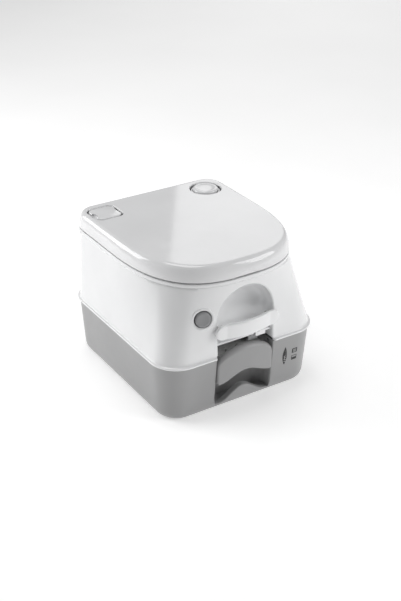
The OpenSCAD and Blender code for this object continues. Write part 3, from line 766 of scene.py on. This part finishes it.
def make_knob():
    """Pump knob: a raised ring round a dished middle, on its stem."""
    top = knob_high[2]
    edge = knob_low[2]
    r = (knob_high[0] - knob_low[0]) / 2
    profile = [(17, edge), (17, 279), (r, 279), (r, top - 4.2), (r - 0.5, top - 2.4), (r - 1.6, top - 1.1),
               (r - 3.4, top - 0.3), (r - 5.5, top - 0.05), (r - 7.5, top - 0.6), (r - 9, top - 1.5),
               (r - 12, top - 1.9), (8, top - 2.0), (0.6, top - 2.05)]
    return lathe_solid("pump_knob_cap", profile, pump_centre, 96, 50)


def make_fill_cap():
    """Hinged hatch with a rounded edge and a finger notch on its outer side."""
    b = Builder()
    low, high = 287.0, cap_high[2]
    rows = []
    for inset, z in ((0.3, low), (0, low + 0.5), (0, high - 2.2), (0.4, high - 1.1), (1.2, high - 0.4),
                     (2.4, high - 0.02)):
        ring = rounded_outline(CAP_W - 2 * inset, CAP_D - 2 * inset, 12 - inset, 12) + fill_centre
        rows.append([(min(x, fill_centre[0] + CAP_W / 2 - 2.2), y, z) for x, y in ring])
    b.grid(rows, closed=True)
    b.polygon(rows[0])
    b.polygon(rows[-1], flip=True)
    cap = b.make("fill_cap_hatch")
    a = np.linspace(0, 2 * math.pi, 40, endpoint=False)
    edge_x, scoop_y = fill_centre[0] - CAP_W / 2 + 1.0, fill_centre[1] - 5
    scoop = [(edge_x + 6.5 * math.cos(t), scoop_y + 10.5 * math.sin(t)) for t in a]
    cut(cap, prism("notch_cut", scoop, "z", 289.6, 300))
    shade(cap, 32)
    return cap


def rounded_bar(b, low, high, r, around=5):
    """Adds a block with rounded edges to a Builder, as rings stacked along Z."""
    low, high = np.array(low, float), np.array(high, float)
    mid, size = (low + high) / 2, high - low
    r = min(r, min(size) * 0.49)
    rows = []
    for end in (-1, 1):
        turns = [math.pi / 2 * k / around for k in range(around + 1)]
        for a in (turns[::-1] if end < 0 else turns):
            inset = r * (1 - math.cos(a))
            z = mid[2] + end * (size[2] / 2 - r + r * math.sin(a))
            ring = rounded_outline(size[0] - 2 * inset, size[1] - 2 * inset, max(r - inset, 0.02), 5)
            rows.append([(mid[0] + x, mid[1] + y, z) for x, y in ring])
    b.grid(rows, closed=True)
    b.polygon(rows[0])
    b.polygon(rows[-1], flip=True)


def barrel(b, x0, x1, y, z, r, bore, steps=40):
    """Adds a hinge barrel along X, its ends rounded, with a bore through it."""
    a = np.linspace(0, 2 * math.pi, steps, endpoint=False)
    rows = []
    for radius, x in ((bore, x0), (r - 0.8, x0), (r, x0 + 0.8), (r, x1 - 0.8), (r - 0.8, x1), (bore, x1),
                      (bore, x0)):
        rows.append(np.stack([np.full(steps, float(x)), y + radius * np.cos(a), z + radius * np.sin(a)], 1))
    b.grid(rows, closed=True)


def make_latch():
    """Release lever: a rounded finger bar in front, an arm on its pivot and a hook below."""
    x0, x1 = LATCH_X0, LATCH_X1
    foot = latch_low[2]
    arm = foot + 21.5
    front, leg = -178.0, -154.5
    pivot_y, pivot_z = -152.0, 137.0
    b = Builder()
    rounded_bar(b, (x0, front, arm), (x1, front + 3.2, arm + 10), 1.55)
    rounded_bar(b, (x0 + 0.4, front + 1.5, arm + 0.1), (x1 - 0.4, leg + 3.5, arm + 3.1), 1.2)
    rounded_bar(b, (x0 + 0.2, leg, foot), (x1 - 0.2, leg + 3.9, arm + 6), 1.2)
    rounded_bar(b, (x0 + 0.2, leg, foot), (x1 - 0.2, latch_high[1], foot + 2.6), 0.9)
    barrel(b, x0, x1, pivot_y, pivot_z, 4, 2.1)
    lever = b.make("latch_lever", smooth_angle=50)
    # Dark dished disc set into the finger bar: painted shade standing in for the finger hole, which the
    # lever does not have
    a = np.linspace(0, 2 * math.pi, 28, endpoint=False)
    rows = []
    for r, back in ((3.6, 0.1), (3.4, 0), (2.6, 0.1), (2.5, 0.8), (2.4, 1.8)):
        rows.append([(x0 + 6 + r * math.cos(t), front + back, arm + 6.5 + r * math.sin(t)) for t in a])
    hole_shade = Builder()
    hole_shade.grid(rows, closed=True)
    hole_shade.polygon(rows[-1])
    return lever, hole_shade.make("latch_hole_painted_shade", smooth_angle=60)


def wall_y(x, z):
    """Depth of the tank's front wall at x and z."""
    x, z = np.array([float(x)]), np.array([float(z)])
    return on_wall(angle_of(x, z, tank_radius), z, tank_radius)[0][1]


def plate(b, xa, xb, za, zb, proud, around=6):
    """A thin plate that follows the tank's front wall and stands proud of it."""
    xs, zs = np.linspace(xa, xb, around), np.linspace(za, zb, around)
    face = [[(x, wall_y(x, z) - proud, z) for x in xs] for z in zs]
    loop = face[0] + [row[-1] for row in face[1:]] + face[-1][-2::-1] + [row[0] for row in face[-2:0:-1]]
    b.grid(face)
    b.grid([loop, [(x, y + proud + 0.6, z) for x, y, z in loop]], closed=True)


def make_window():
    """Lens-shaped sight glass, its domed face proud of the tank."""
    low, high = box_mm("level_window")
    cx, cz = (low[0] + high[0]) / 2, (low[2] + high[2]) / 2
    half_w, half_h = (high[0] - low[0]) / 2 - 0.1, (high[2] - low[2]) / 2 - 0.1
    t = np.linspace(-1, 1, 33)
    side = half_w * (1 - t ** 2)
    outline = np.concatenate([np.stack([side, half_h * t], 1), np.stack([-side, half_h * t], 1)[-2:0:-1]])
    b = Builder()
    rows = []
    for scale, proud in ((1.0, -1.0), (1.0, 0.25), (0.95, 0.5), (0.7, 0.7), (0.35, 0.75), (0.05, 0.75)):
        rows.append([(cx + x * scale, wall_y(cx + x, cz + z) - proud, cz + z * scale) for x, z in outline])
    b.grid(rows, closed=True)
    b.polygon(rows[-1], flip=True)
    return b.make("sight_glass")


def make_marks():
    """Level plates beside the sight glass, and their light ticks."""
    low, high = box_mm("level_marks")
    x0, x1 = low[0] + 0.2, high[0] - 0.2
    dark, light = Builder(), Builder()
    plate(dark, x0, x1, 69.3, 78.8, 0.3)
    plate(dark, x0, x1, 53.7, 58.8, 0.3)
    for xa, xb, za, zb in ((x0, x1, 62.6, 63.4), (x0, x0 + 0.9, 58.9, 62.5), (x1 - 0.9, x1, 58.9, 62.5)):
        plate(dark, xa, xb, za, zb, 0.3)
    for z in (71.6, 74.0, 76.4):
        plate(light, x0 + 2.2, x1 - 2.2, z - 0.4, z + 0.4, 0.45)
    cx = 92.0
    for z in (56, 60, 64, 68, 72, 76, 80):
        plate(light, cx - 1.6, cx + 1.6, z - 0.5, z + 0.5, 0.95)
    return dark.make("level_plates"), light.make("level_ticks")


def make_seat():
    """Seat ring with rounded edges, cut straight at the back, with its hinge tongue."""
    top = box_mm("seat")[1][2]
    base = top - 14.0
    cut_y = 86.0
    angle = np.linspace(-math.pi, math.pi, 288, endpoint=False)

    def outer(inset, z):
        ring = on_wall(angle, z, lambda a, _z: Radius(lid_outline(7.0 + inset))(a))
        ring[:, 1] = np.minimum(ring[:, 1], cut_y - inset)
        return ring

    def inner(grow, z):
        grow = grow * (0.62 + 0.38 * np.cos(angle))
        w, e = 102.0 + grow, 109.0 + grow
        dx, dy = np.sin(angle), -np.cos(angle)
        qa = (dx / w) ** 2 + (dy / e) ** 2
        qb = -2 * dy * BOWL_Y / e ** 2
        qc = (BOWL_Y / e) ** 2 - 1
        reach = (-qb + np.sqrt(qb * qb - 4 * qa * qc)) / (2 * qa)
        return np.stack([reach * dx, reach * dy, np.full(len(angle), float(z))], 1)

    rows = [inner(0.8, base), outer(1.2, base), outer(0.2, base + 1.2), outer(0.2, top - 6),
            outer(0.7, top - 3.6), outer(2.0, top - 1.6), outer(3.6, top - 0.5), outer(5.4, top - 0.02),
            inner(14.0, top - 0.02), inner(9.0, top - 0.5), inner(5.0, top - 1.8), inner(2.2, top - 4),
            inner(0.6, top - 7.5), inner(0.2, base + 2), inner(0.8, base)]
    b = Builder()
    b.grid(rows, closed=True)
    rounded_bar(b, (-46, 79, base + 0.1), (46, 160, top - 0.4), 2.6)
    for x0, x1 in ((-SEAT_LUG - 14, -SEAT_LUG), (SEAT_LUG, SEAT_LUG + 14)):
        rounded_bar(b, (x0, 152, base + 0.4), (x1, 181, top - 1.5), 2.2)
        barrel(b, x0, x1, HINGE_Y, HINGE_Z, KNUCKLE_R, 3.1)
    return b.make("seat_ring_top", smooth_angle=45)


def make_bowl():
    """Bowl: an oval funnel that runs down to its round outlet, with a rim flange."""
    low, high = box_mm("bowl")
    top = high[2]
    # Height, centre along Y, and half width and half depth of the inside
    levels = ((top, BOWL_Y, 110.2, 116.2), (top - 1.5, BOWL_Y, 109.2, 115.2), (262.0, BOWL_Y, 109.0, 115.0),
              (250.0, -30.8, 103.5, 109.3), (232.0, -26.2, 96.8, 101.8), (215.0, -21.2, 90.2, 94.6),
              (200.0, -16.0, 84.0, 88.0), (186.0, -11.0, 74.5, 78.0), (172.0, -6.2, 64.0, 66.4),
              (158.0, -1.6, 52.6, 54.2), (147.0, 2.6, 41.8, 42.4), (138.0, 5.4, 34.0, 34.0),
              (130.0, 6.0, 32.1, 32.1), (low[2] + 0.1, 6.0, 32.0, 32.0))
    a = np.linspace(0, 2 * math.pi, 120, endpoint=False)

    def oval(z, mid, w, d, grow=0.0):
        return np.stack([(w + grow) * np.cos(a), mid + (d + grow) * np.sin(a), np.full(len(a), z)], 1)

    rows = [oval(*level) for level in levels]
    rows += [oval(*level, 2.8) for level in levels[:2:-1]]
    rows += [oval(262.1, BOWL_Y, 109, 115, 2.8), oval(262.1, BOWL_Y, 109, 115, 8.2),
             oval(262.8, BOWL_Y, 109, 115, 8.8), oval(top - 0.6, BOWL_Y, 109, 115, 8.8),
             oval(top, BOWL_Y, 109, 115, 8.0), rows[0]]
    b = Builder()
    b.grid(rows, closed=True)
    return b.make("bowl_funnel", smooth_angle=45)


def make_spout_cap():
    """Screw cap of the pour spout, its edges rounded and its grip ribbed all round."""
    low, high = box_mm("spout_cap")
    x0, x1 = low[0], high[0]
    mid = (low + high) / 2
    outer = min(high[1] - low[1], high[2] - low[2]) / 2
    bore = 20.5
    steps = 144
    a = np.linspace(0, 2 * math.pi, steps, endpoint=False)
    rib = 0.5 - 0.5 * np.cos(24 * a)
    rows = []
    for x, r, depth in ((x0 + 0.9, 0.5, 0), (x0 + 0.8, outer - 6, 0), (x0 + 0.1, outer - 5, 0),
                        (x0 + 0.05, outer - 3, 0), (x0 + 0.8, outer - 1.2, 0.2), (x0 + 2, outer - 0.3, 0.8),
                        (x0 + 3.4, outer, 1.2), (x1 - 1.6, outer, 1.2), (x1 - 0.5, outer - 0.5, 0.8),
                        (x1, outer - 1.6, 0), (x1, bore, 0), (x0 + 4.4, bore, 0), (x0 + 4.4, 0.5, 0)):
        reach = r - depth * rib
        rows.append(np.stack([np.full(steps, x), mid[1] + reach * np.cos(a), mid[2] + reach * np.sin(a)], 1))
    b = Builder()
    b.grid(rows, closed=True)
    b.polygon(rows[0])
    b.polygon(rows[-1])
    return b.make("spout_cap_ribbed", smooth_angle=50)


# ---------------------------------------------------------------- materials

def node_material(name):
    mat = bpy.data.materials.new(name)
    mat.use_nodes = True
    tree = mat.node_tree
    return mat, tree, tree.nodes["Principled BSDF"]


def noise(tree, scale, detail=3.0, rough=0.5, stretch=None):
    """Noise in the object's own space, as the Fac output; scale is in waves per metre."""
    coords = tree.nodes.new("ShaderNodeTexCoord")
    mapping = tree.nodes.new("ShaderNodeMapping")
    mapping.inputs["Scale"].default_value = stretch or (1, 1, 1)
    tex = tree.nodes.new("ShaderNodeTexNoise")
    tex.inputs["Scale"].default_value = scale
    tex.inputs["Detail"].default_value = detail
    tex.inputs["Roughness"].default_value = rough
    tree.links.new(coords.outputs["Object"], mapping.inputs["Vector"])
    tree.links.new(mapping.outputs["Vector"], tex.inputs["Vector"])
    return tex.outputs["Fac"]


def spread(tree, value, low, high, start=0.3, end=0.7):
    """Maps a noise value from start..end onto low..high."""
    node = tree.nodes.new("ShaderNodeMapRange")
    node.inputs["From Min"].default_value = start
    node.inputs["From Max"].default_value = end
    node.inputs["To Min"].default_value = low
    node.inputs["To Max"].default_value = high
    tree.links.new(value, node.inputs["Value"])
    return node.outputs["Result"]


def tint(tree, value, dark, light):
    """Maps a noise value onto a run of colours."""
    ramp = tree.nodes.new("ShaderNodeValToRGB")
    ramp.color_ramp.elements[0].position = 0.3
    ramp.color_ramp.elements[1].position = 0.7
    ramp.color_ramp.elements[0].color = (*dark, 1)
    ramp.color_ramp.elements[1].color = (*light, 1)
    tree.links.new(value, ramp.inputs["Fac"])
    return ramp.outputs["Color"]


def add_bump(tree, shader, layers):
    """Bump from several noises: pairs of value and depth in metres."""
    last = None
    for value, depth in layers:
        bump = tree.nodes.new("ShaderNodeBump")
        bump.inputs["Strength"].default_value = 1.0
        bump.inputs["Distance"].default_value = depth
        tree.links.new(value, bump.inputs["Height"])
        if last:
            tree.links.new(last, bump.inputs["Normal"])
        last = bump.outputs["Normal"]
    tree.links.new(last, shader.inputs["Normal"])


def srgb(v):
    return tuple(c / 12.92 if c <= 0.04045 else ((c + 0.055) / 1.055) ** 2.4 for c in v)


def plastic(name, colour, rough, ripple=0.0, grain=0.0, coat=0.0, mottle=0.012):
    """Moulded plastic: faint shade variation, smudged gloss, mould ripple and a fine grain."""
    mat, tree, shader = node_material(name)
    dark, light = (srgb([c + k for c in colour]) for k in (-mottle, mottle))
    tree.links.new(tint(tree, noise(tree, 9.0, 4.0), dark, light), shader.inputs["Base Color"])
    smudge = noise(tree, 38.0, 5.0, 0.6)
    tree.links.new(spread(tree, smudge, rough - 0.03, rough + 0.06), shader.inputs["Roughness"])
    layers = []
    if ripple:
        layers.append((noise(tree, 26.0, 2.0), ripple))
    layers.append((noise(tree, 900.0, 3.0, 0.6), grain or 0.000006))
    add_bump(tree, shader, layers)
    shader.inputs["IOR"].default_value = 1.52
    shader.inputs["Coat Weight"].default_value = coat
    shader.inputs["Coat Roughness"].default_value = 0.06
    return mat


def rubber(name, colour):
    """Matt rubber with a fine grain."""
    mat, tree, shader = node_material(name)
    dark, light = (srgb([c + k for c in colour]) for k in (-0.02, 0.03))
    tree.links.new(tint(tree, noise(tree, 30.0, 5.0), dark, light), shader.inputs["Base Color"])
    tree.links.new(spread(tree, noise(tree, 120.0), 0.62, 0.82), shader.inputs["Roughness"])
    add_bump(tree, shader, [(noise(tree, 1500.0, 2.0), 0.00002)])
    return mat


def brushed(name, colour, rough):
    """Metal with fine drawn lines."""
    mat, tree, shader = node_material(name)
    lines = noise(tree, 400.0, 4.0, 0.6, stretch=(1.0, 1.0, 14.0))
    dark, light = (srgb([c + k for c in colour]) for k in (-0.06, 0.05))
    tree.links.new(tint(tree, lines, dark, light), shader.inputs["Base Color"])
    tree.links.new(spread(tree, lines, rough - 0.06, rough + 0.12), shader.inputs["Roughness"])
    add_bump(tree, shader, [(lines, 0.000012)])
    shader.inputs["Metallic"].default_value = 1.0
    return mat


MATERIALS = {
    "white_abs": plastic("white_abs_gloss", (0.935, 0.937, 0.94), 0.16, ripple=0.00012, coat=0.3),
    "lid_abs": plastic("lid_abs_gloss", (0.915, 0.916, 0.92), 0.07, ripple=0.00004, coat=0.3),
    "bowl_abs": plastic("bowl_abs_gloss", (0.95, 0.95, 0.945), 0.1, ripple=0.0001, coat=0.5),
    "gray_tank": plastic("tank_satin", (0.62, 0.62, 0.622), 0.34, ripple=0.0001, grain=0.000035,
                         mottle=0.014),
    "gray_button": plastic("button_satin", (0.57, 0.572, 0.578), 0.3, grain=0.00003),
    "dark_plastic": plastic("dark_satin", (0.17, 0.17, 0.175), 0.3, grain=0.00003),
    "light_plastic": plastic("light_satin", (0.8, 0.8, 0.795), 0.28, grain=0.00003),
    "rubber": rubber("seal_rubber", (0.1, 0.1, 0.1)),
    "steel": brushed("stainless_steel", (0.72, 0.72, 0.71), 0.28),
}
for part in frame["record"]["subparts"]:
    mesh = frame["nodes"][part["node"]].data
    mesh.materials.clear()
    mesh.materials.append(MATERIALS[part["material_slot"]])


# ---------------------------------------------------------------- pieces

def dress(piece, body, slot, *replaced):
    """Gives a piece the material of its slot, puts it under its body and hides the CAD nodes that it stands
    for.
    """
    piece.data.materials.clear()
    piece.data.materials.append(MATERIALS[slot])
    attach(piece, body)
    if replaced:
        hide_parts(*replaced)
    return piece


dress(make_body(), "flush_section", "white_abs", "upper_shell")
dress(make_scoop(), "flush_section", "white_abs", "upper_shell")
dress(make_deck(), "flush_section", "white_abs", "upper_shell")
dress(make_button_ring(), "flush_section", "white_abs", "upper_shell")
dress(make_tank(), "tank", "gray_tank", "waste_tank")
dress(make_lid(), "lid_cover", "lid_abs", "lid")
dress(make_hinge_knuckles(), "lid_cover", "lid_abs", "lid")
dress(make_carry_handle(), "flush_section", "white_abs", "carry_handle")
dress(make_slide_handle(), "slide_valve", "gray_tank", "slide_handle")
dress(make_button(), "flush_plunger", "gray_button", "flush_button")
dress(make_button_well(), "flush_section", "gray_button", "button_cup")
dress(make_knob(), "pump_plunger", "lid_abs", "pump_knob")
dress(make_fill_cap(), "fill_flap", "lid_abs", "fill_cap")
dress(make_bowl(), "flush_section", "bowl_abs", "bowl")
dress(make_spout_cap(), "spout_closure", "dark_plastic", "spout_cap")
dress(make_seat(), "seat_ring", "lid_abs", "seat")
lever, hole_shade = make_latch()
dress(lever, "latch", "white_abs", "release_latch")
# The dark disc on the latch is painted shade for its finger hole
dress(hole_shade, "latch", "dark_plastic", "release_latch")
dress(make_window(), "tank", "dark_plastic", "level_window")
plates, ticks = make_marks()
dress(plates, "tank", "dark_plastic", "level_marks")
dress(ticks, "tank", "light_plastic", "level_marks")


# ---------------------------------------------------------------- floor, lights and camera

def make_floor():
    b = Builder()
    size = 6000.0
    b.grid([[(x, y, -0.2) for x in np.linspace(-size, size, 9)] for y in np.linspace(-size, size, 9)])
    floor = b.make("floor")
    mat, tree, shader = node_material("studio_floor")
    dark, light = (0.9, 0.9, 0.9), (0.93, 0.93, 0.93)
    tree.links.new(tint(tree, noise(tree, 3.0), dark, light), shader.inputs["Base Color"])
    shader.inputs["Roughness"].default_value = 0.9
    shader.inputs["Specular IOR Level"].default_value = 0.1
    shader.inputs["Emission Color"].default_value = (1, 1, 1, 1)
    shader.inputs["Emission Strength"].default_value = 0.34
    floor.data.materials.append(mat)
    return floor


def aim(obj, place, target):
    obj.location = place
    obj.rotation_euler = (Vector(place) - Vector(target)).to_track_quat("Z", "Y").to_euler()


def area_light(name, place, target, size, power, size_y=None):
    data = bpy.data.lights.new(name, "AREA")
    data.shape = "RECTANGLE"
    data.size = size
    data.size_y = size_y or size
    data.energy = power
    light = bpy.data.objects.new(name, data)
    bpy.context.scene.collection.objects.link(light)
    aim(light, place, target)
    return light


def make_world(strength):
    world = bpy.data.worlds.new("studio")
    world.use_nodes = True
    back = world.node_tree.nodes["Background"]
    back.inputs["Color"].default_value = (1, 1, 1, 1)
    back.inputs["Strength"].default_value = strength
    bpy.context.scene.world = world


def make_camera():
    azimuth, elevation, roll = math.radians(-32.5), math.radians(28.5), math.radians(0.33)
    distance, target = 2.095, Vector((0.0, 0.0, 0.1492))
    data = bpy.data.cameras.new("camera")
    data.sensor_fit = "VERTICAL"
    data.sensor_height = 36.0
    data.lens = 65.7
    data.shift_x = 0.0143
    data.shift_y = -0.0156
    data.clip_end = 50.0
    camera = bpy.data.objects.new("camera", data)
    bpy.context.scene.collection.objects.link(camera)
    back = Vector((math.sin(azimuth) * math.cos(elevation), -math.cos(azimuth) * math.cos(elevation),
                   math.sin(elevation)))
    camera.location = target + back * distance
    turn = back.to_track_quat("Z", "Y").to_matrix().to_4x4()
    camera.rotation_euler = (turn @ Matrix.Rotation(roll, 4, "Z")).to_euler()
    bpy.context.scene.camera = camera


make_floor()
make_world(0.22)
# Softboxes behind on the left and in front on the right leave the near corner in half shade
area_light("softbox_left", (-1.45, 1.35, 0.95), (0, 0, 0.15), 1.3, 24, 1.3)
area_light("softbox_right", (1.45, -1.45, 1.0), (0, 0, 0.15), 1.2, 18.5, 1.3)
area_light("overhead", (-0.2, 0.3, 2.4), (0, 0, 0.2), 1.2, 15)
# A tall panel at the back that the lid mirrors on its right half
area_light("back_panel", (2.29, 2.39, 1.75), (0, 0, 0.15), 1.5, 13, 2.2)
make_camera()
bpy.context.scene.view_settings.view_transform = "Standard"

bpy.context.view_layer.update()
